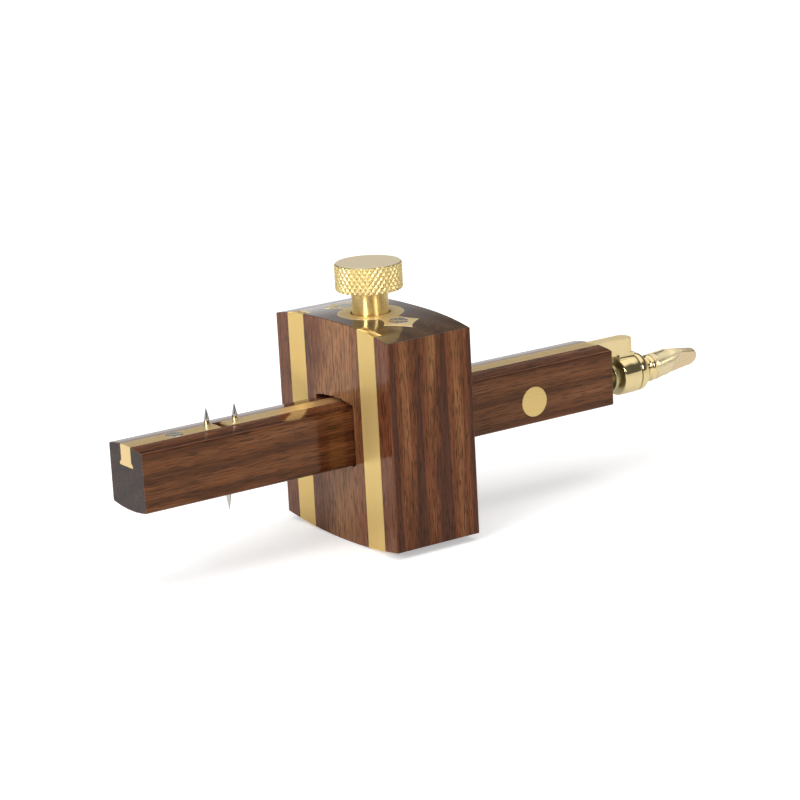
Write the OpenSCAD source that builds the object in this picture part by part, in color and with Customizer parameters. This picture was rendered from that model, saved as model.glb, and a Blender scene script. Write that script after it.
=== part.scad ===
// Mortise gauge: a hardwood stem that slides through a hardwood stock and is
// locked by a knurled thumbscrew. A brass slide in the stem's top carries the
// moving pin, and an adjusting screw at the far end draws it along.
//
// Inside the gauge, x runs along the stem from the stock's working face (x = 0)
// towards the adjusting screw, y runs across, and z = 0 is the stem's middle.
// gauge_place() then stands the whole tool with its box centred over the origin.

/* [Stem] */
// Length of the wooden stem
stem_l = 194.8; // [150:1:260]
// Width of the stem across the tool
stem_w = 22.4; // [18:0.2:28]
// Height of the stem at its middle, crowns included
stem_h = 22.4; // [18:0.2:28]
// Rise of the crowned top and bottom above the stem's long edges
stem_crown = 1.1; // [0.4:0.1:2]
// Radius of the stem's long edges
stem_edge_r = 0.5; // [0.3:0.1:2]
// Length of stem that stands out past the stock's working face at rest
stem_out = 81.9; // [60:1:110]

/* [Brass strip and slide] */
// Width of the strip and the slide at the stem's top
slide_w = 6.6; // [5:0.2:9]
// Width of their dovetailed foot
foot_w = 8.8; // [7:0.2:12]
// Depth of strip and slide below the stem's top
slide_depth = 7.3; // [5:0.1:9]
// Height of the foot below the sloping shoulders
foot_h = 0.8; // [0.5:0.1:1.5]
// Height of the sloping shoulders
shoulder_h = 0.9; // [0.5:0.1:1.5]
// Length of the fixed strip
strip_l = 34.9; // [25:0.1:50]
// Gap between the fixed strip and the slide at rest
slide_gap = 3.1; // [2:0.1:8]
// Thickness of the slide where it stands out past the stem
tail_t = 5.8; // [4:0.1:7]
// Distance of the slide's round end from the far face of the eye
tail_in = 0.2; // [0:0.1:2]
// Distance that the dovetailed foot stops inside the stem's end
foot_in = 1.4; // [1:0.1:4]
// Running clearance of the slide in its groove
slide_clear = 0.08; // [0.05:0.01:0.15]

/* [Pins] */
// Diameter of the scribing pins
pin_d = 1.9; // [1.2:0.1:2.5]
// Height of the two mortise pins above the stem
pin_out = 6.8; // [4:0.1:9]
// Length of the sharpened cone on the mortise pins
pin_point = 4.2; // [2:0.1:6]
// Distance of the fixed pin from the fixed strip's end
fixed_pin_back = 3.6; // [2:0.1:6]
// Distance of the moving pin from the slide's end
moving_pin_in = 4.2; // [2:0.1:6]
// Distance of the single marking pin from the working face
marking_pin_out = 44.2; // [35:0.1:60]
// Height of the marking pin below the stem
marking_pin_h = 8; // [4:0.1:10]
// Length of the sharpened cone on the marking pin
marking_pin_point = 6; // [3:0.1:8]
// Depth that the fixed pin goes into the stem
fixed_pin_in = 15; // [12:0.5:18]
// Depth that the marking pin goes into the stem
marking_pin_in = 7; // [5:0.5:9]

/* [Stock] */
// Thickness of the stock along the stem
stock_t = 34; // [26:0.5:45]
// Width of the stock
stock_w = 69.6; // [60:0.2:80]
// Height of the stock at its middle, crowns included
stock_h = 78; // [68:0.5:90]
// Rise of the stock's crowned top and bottom
stock_crown = 2.6; // [1:0.1:5]
// Radius of the stock's crowned edges
stock_edge_r = 0.4; // [0.3:0.1:2]
// Width of each brass strip in the working face
face_strip_w = 10.3; // [6:0.1:13]
// Thickness of the brass strips
face_strip_t = 3.2; // [2:0.1:5]
// Distance from each side of the stock to its brass strip
face_strip_in = 7.7; // [5:0.1:12]
// Clearance at each side of the stem in the mortise
mortise_side = 0.4; // [0.2:0.05:0.8]
// Clearance above the stem in the mortise
mortise_top = 0.8; // [0.4:0.1:1.5]
// Clearance below the stem in the mortise
mortise_foot = 0.15; // [0.1:0.05:0.4]

/* [Escutcheon] */
// Diameter of the plate's round middle
plate_d = 23.2; // [20:0.1:28]
// Reach of the pointed lugs from the plate's middle
lug_reach = 24.7; // [20:0.1:28]
// Width of a lug across its side points
lug_w = 14.6; // [10:0.2:18]
// Distance of the side points from the plate's middle
lug_side_y = 17.6; // [14:0.1:20]
// Width of a lug where it leaves the round middle
lug_neck_w = 9.6; // [6:0.2:14]
// Hollow of the lugs' curved sides
lug_hollow = 0.9; // [0.2:0.1:1.5]
// Depth of the plate's seat below the stock's top
plate_depth = 3; // [2.4:0.1:4]
// Distance of the plate's screws from its middle
plate_screw_y = 16.2; // [13:0.1:20]
// Clearance between the thumbscrew's neck and the hole in the plate
plate_hole_clear = 0.6; // [0.3:0.05:1]

/* [Wood screws] */
// Diameter of the plate screws' heads
plate_screw_d = 7.4; // [5:0.1:8]
// Diameter of the strip screw's head
strip_screw_d = 6.4; // [5:0.1:6.6]
// Distance of the strip screw from the stem's end
strip_screw_in = 18.6; // [10:0.1:30]
// Diameter of the screws' shanks
screw_shank_d = 3; // [2:0.1:4]
// Length of the screws
screw_l = 12; // [8:0.5:16]
// Width of the screws' slots
screw_slot_w = 0.9; // [0.5:0.1:1.4]
// Depth of the screws' slots
screw_slot_h = 0.9; // [0.5:0.1:1.4]

/* [Thumbscrew] */
// Diameter of the knurled head
knob_d = 23.4; // [18:0.1:30]
// Height of the knurled head
knob_h = 9.4; // [6:0.1:14]
// Chamfer of the knurled head
knob_chamfer = 0.4; // [0.3:0.1:1.5]
// Height of the head's underside above the stock when locked
knob_stand = 8.5; // [5:0.1:12]
// Diameter of the smooth neck
neck_d = 12.8; // [10:0.1:15]
// Depth that the neck goes into the stock when locked
neck_in = 8.5; // [5:0.5:10]
// Diameter of the thread, drawn plain
stud_d = 7.9; // [6:0.1:9]
// Diameter of the spigot at the tip
spigot_d = 4.8; // [3:0.1:6]
// Height of the spigot
spigot_h = 1.5; // [1:0.1:2]
// Rise of the thumbscrew in its two turns
thumb_rise = 2.5; // [2:0.1:4]

/* [Bush and shoe] */
// Height of the threaded bush
bush_h = 11.5; // [8:0.5:14]
// Length of the pressure shoe along the stem
shoe_l = 20; // [14:0.5:28]
// Width of the pressure shoe
shoe_w = 16; // [12:0.5:20]
// Thickness of the pressure shoe
shoe_t = 3; // [2.5:0.1:4]
// Gap between the locked shoe and the stem's top
shoe_gap = 0.05; // [0.02:0.01:0.1]
// Clearance round the shoe in its pocket
shoe_clear = 0.3; // [0.2:0.05:0.6]

/* [Adjusting screw] */
// Height of the screw's axis above the stem's middle
screw_z = -3; // [-3.5:0.1:-1]
// Diameter of the adjusting screw, drawn plain
adjust_d = 4.9; // [4:0.1:5.5]
// Distance of the screw's inner end from the stem's end
adjust_reach = 54; // [45:0.5:70]
// Diameter of the barrel nut
nut_d = 11.1; // [9:0.1:13]
// Height of the barrel nut's middle above the screw's axis
nut_rise = 0.8; // [0:0.1:1]
// Distance of the barrel nut from the stem's end
nut_in = 35.7; // [25:0.1:45]
// Distance from the stem's end to the eye under the slide's tail
eye_out = 9.3; // [7:0.1:14]
// Diameter of the eye
eye_d = 14.7; // [12:0.1:16]
// Length of the eye along the screw
eye_l = 8; // [6:0.1:12]
// Width of the web that joins the eye to the slide's tail
eye_web_w = 6; // [4:0.1:6.6]
// Diameter of the thrust collar
collar_d = 11.6; // [8:0.1:12]
// Thickness of the thrust collar
collar_t = 1.6; // [1.5:0.1:3]
// Diameter of the hub between the collar and the eye
hub_d = 8; // [6:0.1:10]
// Length of the hub
hub_l = 1.8; // [0.5:0.1:3]
// Diameter of the collar's cross pin
collar_pin_d = 1; // [0.8:0.1:1.2]
// Furthest travel of the slide towards the fixed strip
travel_in = 3; // [1:0.1:3]

/* [Finger turn] */
// Diameter of the flange
flange_d = 14.6; // [12:0.1:18]
// Thickness of the flange
flange_t = 1.9; // [1.5:0.1:4]
// Gap between the flange and the eye
flange_gap = 0.3; // [0.1:0.05:0.5]
// Diameter of the bead beside the flange
bead_d = 10; // [8:0.1:11]
// Distance of the bead's middle from the flange's seat
bead_x = 7.5; // [6:0.1:9]
// Width of the bead
bead_w = 2.8; // [2:0.1:5]
// Greatest diameter of the bulb
bulb_d = 10.2; // [9:0.1:12]
// Length of the finger turn, flange included
turn_l = 31.4; // [26:0.1:40]
// Width of the tab near its end
tab_w = 6.8; // [4:0.1:9]
// Thickness of the flat tab
tab_t = 2; // [1.5:0.1:4]
// Distance from the flange's seat to where the scoops begin
scoop_x = 20.2; // [16:0.1:22]
// Radius of the scoops that leave the tab
scoop_r = 4; // [3:0.5:14]
// Turn of the tab about the screw's axis at rest
tab_turn = 24; // [-90:1:90]
// Depth that the adjusting screw goes into the finger turn
turn_bore = 13; // [9:0.5:15]

/* [Fits] */
// Radial clearance of turning shafts
run_clear = 0.05; // [0.02:0.01:0.1]
// Radial clearance of pins and bushes that are pressed in
press_clear = 0.01; // [0.005:0.005:0.02]

/* [Hidden] */
$fn = 64;

brass = [0.86, 0.72, 0.42];
steel = [0.74, 0.75, 0.76];
rosewood = [0.36, 0.20, 0.13];
past = 1;            // how far a cut runs past the face that it opens
corner_steps = 5;    // facets on a rounded long edge
crown_steps = 20;    // facets across a crowned face
bow_steps = 8;       // facets along a lug's hollow side
tail_lap = 1;        // how far the tail runs on inside the foot's end, as one solid with it
flange_ease = 0.4;   // bevel of the flange's seat
cove_depth = 0.9;    // depth of the finger turn's cove below its bead
groove_depth = 0.4;  // depth of the groove between bead and bulb
tip_l = 3;           // length of the finger turn's rounded tip

// places along the stem, from the working face
stem_x0 = -stem_out;
stem_x1 = stem_x0 + stem_l;
stem_top = stem_h / 2;
strip_x1 = stem_x0 + strip_l;
slide_x0 = strip_x1 + slide_gap;
fixed_pin_x = strip_x1 - fixed_pin_back;
moving_pin_x = slide_x0 + moving_pin_in;
groove_z = stem_top - slide_depth;
neck_z = groove_z + foot_h + shoulder_h;
eye_x0 = stem_x1 + eye_out;
eye_x1 = eye_x0 + eye_l;
collar_x1 = eye_x0 - hub_l;
collar_x0 = collar_x1 - collar_t;
flange_x0 = eye_x1 + flange_gap;
turn_x1 = flange_x0 + turn_l;
tail_x1 = eye_x1 - tail_in;
tail_round_x = tail_x1 - slide_w / 2;
tail_z = stem_top - tail_t;
foot_x1 = stem_x1 - foot_in;
nut_x = stem_x1 - nut_in;
nut_z = screw_z + nut_rise;
adjust_x0 = stem_x1 - adjust_reach;
adjust_x1 = flange_x0 + turn_bore;
adjust_bore_d = adjust_d + 1.1;
adjust_bore_x0 = adjust_x0 - travel_in - 1.5;

// heights in the stock
stock_top = stock_h / 2;
plate_x = stock_t / 2;
face_strip_y = stock_w / 2 - face_strip_in - face_strip_w / 2;
crown_r = (pow(stock_w / 2, 2) + pow(stock_crown, 2)) / (2 * stock_crown);
screw_tilt = asin(plate_screw_y / crown_r);
plate_seat = stock_top - plate_depth;
neck_bore_d = neck_d + 2 * plate_hole_clear;
knob_z = stock_top + knob_stand;
neck_z0 = stock_top - neck_in;
shoe_z = stem_top + shoe_gap;
shoe_top = shoe_z + shoe_t;
pocket_top = shoe_top + thumb_rise + shoe_clear;
bush_z1 = neck_z0 - 0.5;
bush_z0 = bush_z1 - bush_h;

// the tool's box, which is centred over the origin
box_x = (stem_x0 + turn_x1) / 2;

module gauge_place() translate([-box_x, 0, stock_top]) children();

// stands a section drawn in y and z along x from x0 to x1
module along_x(x0, x1) translate([x0, 0, 0]) rotate([90, 0, 90]) linear_extrude(x1 - x0) children();

// a round bar along x, y or z
module bar_x(d, x0, x1) translate([x0, 0, 0]) rotate([0, 90, 0]) cylinder(d = d, h = x1 - x0);
module bar_y(d, y0, y1) translate([0, y0, 0]) rotate([-90, 0, 0]) cylinder(d = d, h = y1 - y0);
module bar_z(d, z0, z1) translate([0, 0, z0]) cylinder(d = d, h = z1 - z0);

function arc(x, y, r, a0, a1, n) = [for (i = [0:n]) let (a = a0 + (a1 - a0) * i / n) [x + r * cos(a), y + r * sin(a)]];

// upper half of a section with a crowned top: an arc between two vertical sides,
// with a small round at each end that is tangent to both
function crowned_half(w, h, crown, r) =
    let (a = w / 2,
         big = (a * a + crown * crown) / (2 * crown),
         low = h / 2 - big,
         y = low + sqrt(pow(big - r, 2) - pow(a - r, 2)),
         turn = atan2(y - low, a - r),
         top = arc(0, low, big, turn, 180 - turn, crown_steps))
    concat(arc(a - r, y, r, 0, turn, corner_steps),
           [for (i = [1:crown_steps - 1]) top[i]],
           arc(r - a, y, r, 180 - turn, 180, corner_steps));

module crowned_section(w, h, crown, r) {
    half = crowned_half(w, h, crown, r);
    last = len(half) - 1;
    polygon(concat(half, [for (i = [last:-1:0]) [half[i][0], -half[i][1]]]));
}

module stem_section() crowned_section(stem_w, stem_h, stem_crown, stem_edge_r);
module stock_section() crowned_section(stock_w, stock_h, stock_crown, stock_edge_r);

// the dovetailed section of strip and slide, grown by c on its sides and foot
module slide_section(c = 0) polygon([
    [slide_w / 2 + c, stem_top + past], [slide_w / 2 + c, neck_z + c],
    [foot_w / 2 + c, groove_z + foot_h + c], [foot_w / 2 + c, groove_z - c],
    [-foot_w / 2 - c, groove_z - c], [-foot_w / 2 - c, groove_z + foot_h + c],
    [-slide_w / 2 - c, neck_z + c], [-slide_w / 2 - c, stem_top + past]]);

// a pin that stands up from z0, with a sharpened cone at its top
module pin(d, z0, z1, point) {
    bar_z(d, z0, z1 - point);
    translate([0, 0, z1 - point]) cylinder(d1 = d, d2 = 0.12, h = point);
}

// a countersunk wood screw whose head is level with z = 0
module wood_screw(head_d) difference() {
    screw_body(head_d, screw_shank_d, 0);
    translate([-head_d / 2 - past, -screw_slot_w / 2, -screw_slot_h])
        cube([head_d + 2 * past, screw_slot_w, screw_slot_h + past]);
}

module screw_body(head_d, shank_d, c) {
    cone = (head_d - shank_d) / 2;
    tip = shank_d;
    translate([0, 0, -cone - 0.3]) cylinder(d1 = shank_d + 2 * c, d2 = head_d + 2 * c, h = cone);
    bar_z(head_d + 2 * c, -0.3, 0);
    bar_z(shank_d + 2 * c, tip - screw_l, -cone - 0.3);
    translate([0, 0, -screw_l]) cylinder(d1 = 0.3, d2 = shank_d + 2 * c, h = tip);
}

// the hole that takes a wood screw, open above
module screw_hole(head_d) {
    screw_body(head_d, screw_shank_d, press_clear);
    bar_z(head_d + 2 * press_clear, -0.01, past);
}

// the place of a plate screw on the crowned top: side is -1 near or 1 far
module at_plate_screw(side) translate([plate_x, 0, stock_top - crown_r])
    rotate([-side * screw_tilt, 0, 0]) translate([0, 0, crown_r]) children();

module at_strip_screw() translate([stem_x0 + strip_screw_in, 0, stem_top]) children();

module stem() color(rosewood) gauge_place() difference() {
    along_x(stem_x0, stem_x1) stem_section();
    along_x(stem_x0 - past, stem_x1 + past) slide_section(slide_clear);
    translate([nut_x, 0, nut_z]) bar_y(nut_d + 2 * press_clear, -stem_w / 2 - past, stem_w / 2 + past);
    translate([0, 0, screw_z]) bar_x(adjust_bore_d, adjust_bore_x0, stem_x1 + past);
    translate([fixed_pin_x, 0, 0]) bar_z(pin_d + 2 * press_clear, stem_top - fixed_pin_in, stem_top);
    translate([-marking_pin_out, 0, 0])
        bar_z(pin_d + 2 * press_clear, -stem_top - past, marking_pin_in - stem_top);
    at_strip_screw() screw_hole(strip_screw_d);
}

module fixed_strip() color(brass) gauge_place() difference() {
    along_x(stem_x0, strip_x1) intersection() {
        slide_section();
        stem_section();
    }
    translate([fixed_pin_x, 0, 0]) bar_z(pin_d + 2 * press_clear, 0, stem_top + past);
    at_strip_screw() screw_hole(strip_screw_d);
}

module fixed_strip_screw() color(steel) gauge_place() at_strip_screw() rotate([0, 0, 62]) wood_screw(strip_screw_d);

module fixed_pin() color(steel) gauge_place() translate([fixed_pin_x, 0, 0])
    pin(pin_d, stem_top - fixed_pin_in, stem_top + pin_out, pin_point);

module marking_pin() color(steel) gauge_place() translate([-marking_pin_out, 0, 0]) rotate([180, 0, 0])
    pin(pin_d, stem_top - marking_pin_in, stem_top + marking_pin_h, marking_pin_point);

module barrel_nut() color(brass) gauge_place() translate([nut_x, 0, 0]) difference() {
    translate([0, 0, nut_z]) bar_y(nut_d, -stem_w / 2, stem_w / 2);
    translate([0, 0, screw_z]) bar_x(adjust_d + 2 * run_clear, -nut_d, nut_d);
}

module slide_bar() color(brass) gauge_place() difference() {
    union() {
        along_x(slide_x0, foot_x1) intersection() {
            slide_section();
            stem_section();
        }
        intersection() {
            along_x(foot_x1 - tail_lap, tail_x1) stem_section();
            union() {
                translate([foot_x1 - tail_lap, -slide_w / 2, tail_z])
                    cube([tail_round_x - foot_x1 + tail_lap, slide_w, tail_t + past]);
                translate([tail_round_x, 0, 0]) bar_z(slide_w, tail_z, stem_top + past);
            }
        }
    }
    translate([moving_pin_x, 0, 0]) bar_z(pin_d + 2 * press_clear, groove_z - past, stem_top + past);
}

// the eye's drum and the web on it, both cut level with the tail's underside
module slide_eye() color(brass) gauge_place() difference() {
    union() {
        translate([0, 0, screw_z]) bar_x(eye_d, eye_x0, eye_x1);
        translate([eye_x0, -eye_web_w / 2, screw_z]) cube([eye_l, eye_web_w, tail_z - screw_z]);
    }
    translate([0, 0, screw_z]) bar_x(adjust_d + 2 * run_clear, eye_x0 - past, eye_x1 + past);
    translate([eye_x0 - past, -eye_d / 2, tail_z]) cube([eye_l + 2 * past, eye_d, eye_d]);
}

module moving_pin() color(steel) gauge_place() translate([moving_pin_x, 0, 0])
    pin(pin_d, groove_z, stem_top + pin_out, pin_point);

module adjusting_screw() color(brass) gauge_place() translate([0, 0, screw_z]) difference() {
    bar_x(adjust_d, adjust_x0, adjust_x1);
    translate([collar_x0 + collar_t / 2, 0, 0]) bar_z(collar_pin_d + 2 * press_clear, -adjust_d, adjust_d);
}

module thrust_collar() color(brass) gauge_place() translate([0, 0, screw_z]) difference() {
    union() {
        bar_x(collar_d, collar_x0, collar_x1);
        bar_x(hub_d, collar_x0, eye_x0);
    }
    bar_x(adjust_d + 2 * press_clear, collar_x0 - past, eye_x0 + past);
    translate([collar_x0 + collar_t / 2, 0, 0]) bar_z(collar_pin_d + 2 * press_clear, -collar_d, collar_d);
}

module collar_pin() color(steel) gauge_place() translate([collar_x0 + collar_t / 2, 0, screw_z])
    bar_z(collar_pin_d, -collar_d / 2 + 0.4, collar_d / 2 - 0.4);

// outline of the finger turn from its flange's seat to its tip, as [x, radius]: the flange, a
// slope down to the cove, the bead, the groove, then the bulb and its rounded tip
function turn_profile() =
    let (flange_r = flange_d / 2,
         cove_x = bead_x - bead_w / 2,
         cove_r = bead_d / 2 - cove_depth,
         groove_r = bead_d / 2 - groove_depth,
         bulb_x = bead_x + bead_w / 2,
         bulb_l = turn_l - tip_l - bulb_x)
    concat(
        [[0, 0], [0, flange_r - flange_ease], [flange_ease, flange_r]],
        [for (i = [0:8]) let (t = i / 8)
            [flange_t + (cove_x - flange_t) * t, cove_r + (flange_r - cove_r) * (1 + cos(180 * t)) / 2]],
        [for (i = [1:7]) let (t = i / 8)
            [cove_x + bead_w * t,
             cove_r + (groove_r - cove_r) * t + (bead_d - cove_r - groove_r) / 2 * sin(180 * t)]],
        [for (i = [0:14]) let (t = i / 14)
            [bulb_x + bulb_l * t,
             groove_r + (tab_w / 2 - groove_r) * t
             + (bulb_d / 2 - (groove_r + tab_w / 2) / 2) * sin(180 * pow(t, 0.62))]],
        [for (i = [1:6]) let (a = 90 * i / 6) [turn_l - tip_l * (1 - sin(a)), tab_w / 2 * cos(a * 0.999)]]);

module finger_turn() color(brass) gauge_place() translate([flange_x0, 0, screw_z]) rotate([tab_turn, 0, 0])
    difference() {
        rotate([90, 0, 90]) rotate_extrude() polygon([for (p = turn_profile()) [p[1], p[0]]]);
        bar_x(adjust_d + 2 * press_clear, -past, turn_bore);
        for (side = [-1, 1]) {
            translate([scoop_x + scoop_r, side * (tab_t / 2 + scoop_r), -turn_l / 2])
                cylinder(r = scoop_r, h = turn_l);
            translate([scoop_x + scoop_r, side > 0 ? tab_t / 2 : -tab_t / 2 - turn_l, -turn_l / 2])
                cube([turn_l, turn_l, turn_l]);
        }
    }

module thumb_bore() translate([plate_x, 0, 0]) bar_z(neck_bore_d, bush_z0, stock_top + past);

module mortise() translate([0, 0, (mortise_top - mortise_foot) / 2])
    along_x(-past, stock_t + past)
        crowned_section(stem_w + 2 * mortise_side, stem_h + mortise_top + mortise_foot, stem_crown, stem_edge_r);

// side is -1 for the near strip and 1 for the far strip
module face_strip_seat(side, x0) translate([x0, side * face_strip_y - face_strip_w / 2, -stock_h])
    cube([face_strip_t - x0, face_strip_w, 2 * stock_h]);

// points from p to q, bowed inwards to the left of the way by up to sag
function bow(p, q, sag) =
    let (d = q - p, n = [-d[1], d[0]] / norm(d))
    [for (i = [0:bow_steps - 1]) let (t = i / bow_steps) p + d * t + n * sag * 4 * t * (1 - t)];

// a pointed lug with hollow sides, pointing to -y from the plate's middle
module lug() {
    a = [lug_neck_w / 2, -sqrt(pow(plate_d / 2, 2) - pow(lug_neck_w / 2, 2)) + 0.4];
    b = [lug_w / 2, -lug_side_y];
    c = [0, -lug_reach];
    d = [-b[0], b[1]];
    e = [-a[0], a[1]];
    polygon(concat([[0, 0]], bow(a, b, -lug_hollow), bow(b, c, -lug_hollow), bow(c, d, -lug_hollow),
        bow(d, e, -lug_hollow), [e]));
}

module plate_blank(z1) translate([plate_x, 0, 0]) {
    bar_z(plate_d, plate_seat, z1);
    for (turn = [0, 180]) rotate(turn) translate([0, 0, plate_seat]) linear_extrude(z1 - plate_seat) lug();
}

module stock() color(rosewood) gauge_place() difference() {
    along_x(0, stock_t) stock_section();
    mortise();
    for (side = [-1, 1]) {
        face_strip_seat(side, -past);
        at_plate_screw(side) screw_hole(plate_screw_d);
    }
    plate_blank(stock_top + past);
    thumb_bore();
    translate([plate_x, 0, 0]) bar_z(stud_d + 2 * plate_hole_clear, pocket_top - past, bush_z0 + past);
    translate([plate_x - shoe_l / 2 - shoe_clear, -shoe_w / 2 - shoe_clear, 0])
        cube([shoe_l + 2 * shoe_clear, shoe_w + 2 * shoe_clear, pocket_top]);
}

module face_strip(side) intersection() {
    along_x(0, stock_t) stock_section();
    face_strip_seat(side, 0);
}

module near_face_strip() color(brass) gauge_place() face_strip(-1);
module far_face_strip() color(brass) gauge_place() face_strip(1);

module escutcheon() color(brass) gauge_place() difference() {
    intersection() {
        plate_blank(stock_top + past);
        along_x(0, stock_t) stock_section();
    }
    thumb_bore();
    for (side = [-1, 1]) at_plate_screw(side) screw_hole(plate_screw_d);
}

module near_plate_screw() color(steel) gauge_place() at_plate_screw(-1) rotate([0, 0, 50]) wood_screw(plate_screw_d);
module far_plate_screw() color(steel) gauge_place() at_plate_screw(1) rotate([0, 0, 65]) wood_screw(plate_screw_d);

module threaded_bush() color(brass) gauge_place() translate([plate_x, 0, 0]) difference() {
    bar_z(neck_bore_d - 2 * press_clear, bush_z0, bush_z1);
    bar_z(stud_d + 2 * run_clear, bush_z0 - past, bush_z1 + past);
}

module thumbscrew() color(brass) gauge_place() translate([plate_x, 0, 0]) rotate_extrude() polygon([
    [0, shoe_top - spigot_h], [spigot_d / 2, shoe_top - spigot_h], [spigot_d / 2, shoe_top],
    [stud_d / 2, shoe_top], [stud_d / 2, neck_z0], [neck_d / 2, neck_z0], [neck_d / 2, knob_z],
    [knob_d / 2 - knob_chamfer, knob_z], [knob_d / 2, knob_z + knob_chamfer],
    [knob_d / 2, knob_z + knob_h - knob_chamfer], [knob_d / 2 - knob_chamfer, knob_z + knob_h],
    [0, knob_z + knob_h]]);

module pressure_shoe() color(brass) gauge_place() translate([plate_x, 0, 0]) difference() {
    translate([-shoe_l / 2, -shoe_w / 2, shoe_z]) cube([shoe_l, shoe_w, shoe_t]);
    bar_z(spigot_d + 2 * run_clear, shoe_top - spigot_h, shoe_top + past);
}

stem();
fixed_strip();
fixed_strip_screw();
fixed_pin();
marking_pin();
barrel_nut();
slide_bar();
slide_eye();
moving_pin();
adjusting_screw();
finger_turn();
thrust_collar();
collar_pin();
stock();
near_face_strip();
far_face_strip();
escutcheon();
near_plate_screw();
far_plate_screw();
threaded_bush();
thumbscrew();
pressure_shoe();
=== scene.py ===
"""Mortise gauge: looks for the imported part. Shapes are worked out in the gauge's own millimetres
(x along the stem from the stock's working face, z = 0 at the stem's middle) and placed by row()."""
import math

import bmesh
import bpy
import numpy as np
from mathutils.geometry import tessellate_polygon
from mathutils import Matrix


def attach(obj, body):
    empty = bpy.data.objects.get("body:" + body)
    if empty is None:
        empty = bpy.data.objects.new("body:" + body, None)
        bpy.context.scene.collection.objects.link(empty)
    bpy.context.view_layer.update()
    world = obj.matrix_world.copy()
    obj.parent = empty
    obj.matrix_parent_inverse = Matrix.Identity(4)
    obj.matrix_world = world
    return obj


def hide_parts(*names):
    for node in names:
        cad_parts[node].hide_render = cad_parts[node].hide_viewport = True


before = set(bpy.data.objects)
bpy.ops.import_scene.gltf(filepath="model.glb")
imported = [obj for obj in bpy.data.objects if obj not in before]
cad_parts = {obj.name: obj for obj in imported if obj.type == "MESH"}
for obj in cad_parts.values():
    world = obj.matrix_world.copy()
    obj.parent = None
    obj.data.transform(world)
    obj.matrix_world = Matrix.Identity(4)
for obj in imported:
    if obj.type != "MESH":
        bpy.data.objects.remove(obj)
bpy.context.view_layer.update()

# Sizes and places in millimetres, as in the part's source
BOX_X, FLOOR_Z = 40.0, -39.0
STEM_X0, STEM_X1, STEM_HALF, STEM_RISE = -81.9, 112.9, 11.2, 1.1
STOCK_T, STOCK_HALF, STOCK_TOP, STOCK_RISE = 34.0, 34.8, 39.0, 2.6
PLATE_X, PLATE_R, HOLE_R = 17.0, 11.6, 7.0
SCREW_Z, SCREW_R = -3.0, 2.45
NUT_X, NUT_Z, NUT_R = 77.2, -2.2, 5.5
EYE_X0, EYE_X1, EYE_R = 122.2, 130.2, 7.35
COLLAR_X0, COLLAR_X1, COLLAR_R, HUB_R = 118.8, 120.4, 5.8, 4.0
FLANGE_X0 = 130.5
STRIP_X1, SLIDE_X0, FOOT_X1, TAIL_X1, TAIL_Z = -47.0, -43.9, 111.5, 130.0, 5.4
FIXED_PIN_X, MOVING_PIN_X, MARKING_PIN_X, PIN_R = -50.6, -39.7, -44.2, 0.95
KNOB_Z0, KNOB_Z1, KNOB_R, NECK_R = 47.5, 56.9, 11.7, 6.4
STRIP_SCREW_X, PLATE_SCREW_Y, PLATE_RISE = -63.3, 16.8, 0.09
LUG_ROOT, LUG_SIDE, LUG_TIP = (3.9, 10.92), (7.25, 18.9), (0.0, 25.4)


def row(points):
    """Gauge millimetres to the row frame in metres."""
    return (np.asarray(points, float) - [BOX_X, 0.0, FLOOR_Z]) / 1000.0


def arc_crown(y, half, top, rise):
    """Height at y of a crowned face: an arc that stands `rise` above its ends at +-half."""
    big = (half ** 2 + rise ** 2) / (2 * rise)
    return top - big + np.sqrt(big ** 2 - np.asarray(y, float) ** 2)


def stem_crown(y):
    """Height of the stem's top at y, an arc."""
    return arc_crown(y, STEM_HALF, STEM_HALF, STEM_RISE)


def stock_crown(y):
    """Height of the stock's top at y, which falls with the power 2.6 of y, flatter in its middle."""
    return 39.1 - 2.75 * (np.abs(y) / STOCK_HALF) ** 2.6


def stock_foot(y):
    """Depth of the stock's underside at y, an arc."""
    return arc_crown(y, STOCK_HALF, STOCK_TOP, STOCK_RISE)


def mortise_crown(y):
    """Height of the mortise's top at y, above its own middle."""
    return arc_crown(y, STEM_HALF + 0.4, STEM_HALF + 0.475, STEM_RISE)


def crowned_side(height, half, r, start, steps):
    """Right half of a crowned face from y = start on: the crown height(y), then a small arc of
    radius r that is tangent to the crown and to the upright side."""
    fall = math.atan((height(half - 0.5) - height(half)) / 0.5)
    y = np.linspace(start, half - r + r * math.sin(fall), steps)
    zc = float(height(y[-1])) - r * math.cos(fall)
    a = np.linspace(math.pi / 2 - fall, 0, 9)[1:]
    return np.concatenate([np.stack([y, height(y)], 1),
                           np.stack([half - r + r * np.cos(a), zc + r * np.sin(a)], 1),
                           [[half, zc - 0.12]]])


def crowned_outline(top, foot, half, r, mouth=0.0, steps=24):
    """Outline (y, z) of a bar with crowned top and foot, clockwise from y = +mouth on its top to
    y = -mouth; with no mouth the two ends are one point, given once."""
    upper = crowned_side(top, half, r, mouth, steps)
    lower = crowned_side(foot, half, r, 0.0, steps) * [1, -1]
    right = np.concatenate([upper, lower[::-1]])
    whole = np.concatenate([right, (right * [-1, 1])[::-1][1:]])
    return whole if mouth else whole[:-1]


def moved_in(outline, d):
    """The outline moved in by d along its own normals (out for a negative d)."""
    t = np.gradient(outline, axis=0)
    n = np.stack([-t[:, 1], t[:, 0]], 1) / np.linalg.norm(t, axis=1)[:, None]
    return outline - np.reshape(d, (-1, 1)) * n


def ring_moved_in(ring, d):
    """As moved_in, for an outline that closes on itself."""
    wrapped = np.concatenate([ring[-1:], ring, ring[:1]])
    return moved_in(wrapped, np.pad(np.broadcast_to(d, len(ring)), 1))[1:-1]


def at_x(x, outline):
    """An outline in (y, z) set at x."""
    return np.column_stack([np.full(len(outline), float(x)), outline])


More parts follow.
